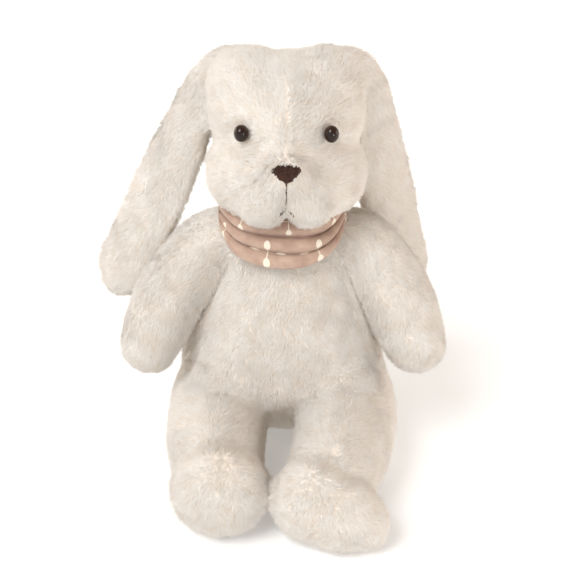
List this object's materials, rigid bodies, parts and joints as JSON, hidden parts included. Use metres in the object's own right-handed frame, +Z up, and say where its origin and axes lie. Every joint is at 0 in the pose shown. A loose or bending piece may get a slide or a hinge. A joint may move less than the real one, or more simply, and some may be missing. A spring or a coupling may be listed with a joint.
{
  "type": "stuffed rabbit",
  "caption": "Seated plush rabbit with long hanging ears, embroidered nose, bead eyes and a printed neck cloth; arms, legs, ears and head swing on their seams.",
  "frame": {"origin": "on the floor plane under the flat of the seat, 22 mm behind the middle of the neck", "axes": "+Z up, -Y the way the face looks, +X the toy's own left"},
  "size_m": [0.2442, 0.2522, 0.284],
  "materials": {
    "white_plush": "long soft plush fur in warm white, slightly matted into tufts",
    "ear_lining_plush": "short soft plush, warm peach where it is shaded",
    "printed_cotton": "thin woven cotton in mauve brown with a pale leaf-sprig print",
    "eye_bead": "glossy dark brown moulded plastic",
    "washer_plastic": "plain moulded plastic",
    "brown_thread": "dark brown embroidery thread",
    "pellet_bag_cloth": "plain woven cloth bag",
    "polyester_filling": "loose polyester wadding"
  },
  "bodies": {
    "torso": {"torso_front_panel": "white_plush", "torso_back_left_panel": "white_plush", "torso_back_right_panel": "white_plush", "torso_stuffing": "polyester_filling", "seat_pellet_bag": "pellet_bag_cloth", "tail_cover": "white_plush", "tail_stuffing": "polyester_filling", "bandana": "printed_cotton", "bandana_knot": "printed_cotton"},
    "head": {"face_left_panel": "white_plush", "face_right_panel": "white_plush", "head_back_left_panel": "white_plush", "head_back_right_panel": "white_plush", "head_stuffing": "polyester_filling", "eye_left": "eye_bead", "eye_right": "eye_bead", "eye_washer_left": "washer_plastic", "eye_washer_right": "washer_plastic", "nose": "brown_thread", "mouth_stitch": "brown_thread"},
    "ear_left": {"ear_left_outer": "white_plush", "ear_left_lining": "ear_lining_plush", "ear_left_padding": "polyester_filling"},
    "arm_left": {"arm_left_front_panel": "white_plush", "arm_left_back_panel": "white_plush", "arm_left_stuffing": "polyester_filling"},
    "leg_left": {"leg_left_outer_panel": "white_plush", "leg_left_inner_panel": "white_plush", "leg_left_stuffing": "polyester_filling"},
    "ear_right": {"ear_right_outer": "white_plush", "ear_right_lining": "ear_lining_plush", "ear_right_padding": "polyester_filling"},
    "arm_right": {"arm_right_front_panel": "white_plush", "arm_right_back_panel": "white_plush", "arm_right_stuffing": "polyester_filling"},
    "leg_right": {"leg_right_outer_panel": "white_plush", "leg_right_inner_panel": "white_plush", "leg_right_stuffing": "polyester_filling"}
  },
  "joints": [
    {"name": "neck_turn", "type": "hinge", "parent": "torso", "child": "head", "pos_m": [0, -0.024, 0.181], "axis": [0, 0, 1], "range_deg": [-5, 30]},
    {"name": "ear_right_lift", "type": "hinge", "parent": "head", "child": "ear_right", "pos_m": [-0.039, -0.016, 0.276], "axis": [0, 1, 0], "range_deg": [0, 100]},
    {"name": "ear_left_lift", "type": "hinge", "parent": "head", "child": "ear_left", "pos_m": [0.039, -0.016, 0.276], "axis": [0, -1, 0], "range_deg": [0, 100]},
    {"name": "arm_right_swing", "type": "hinge", "parent": "torso", "child": "arm_right", "pos_m": [-0.053, -0.032, 0.158], "axis": [-1, 0, 0], "range_deg": [-10, 95]},
    {"name": "arm_left_swing", "type": "hinge", "parent": "torso", "child": "arm_left", "pos_m": [0.053, -0.032, 0.158], "axis": [-1, 0, 0], "range_deg": [-10, 95]},
    {"name": "leg_right_swing", "type": "hinge", "parent": "torso", "child": "leg_right", "pos_m": [-0.0445, -0.047, 0.036], "axis": [-1, 0, 0], "range_deg": [-85, 20]},
    {"name": "leg_left_swing", "type": "hinge", "parent": "torso", "child": "leg_left", "pos_m": [0.0365, -0.047, 0.036], "axis": [-1, 0, 0], "range_deg": [-85, 20]}
  ]
}
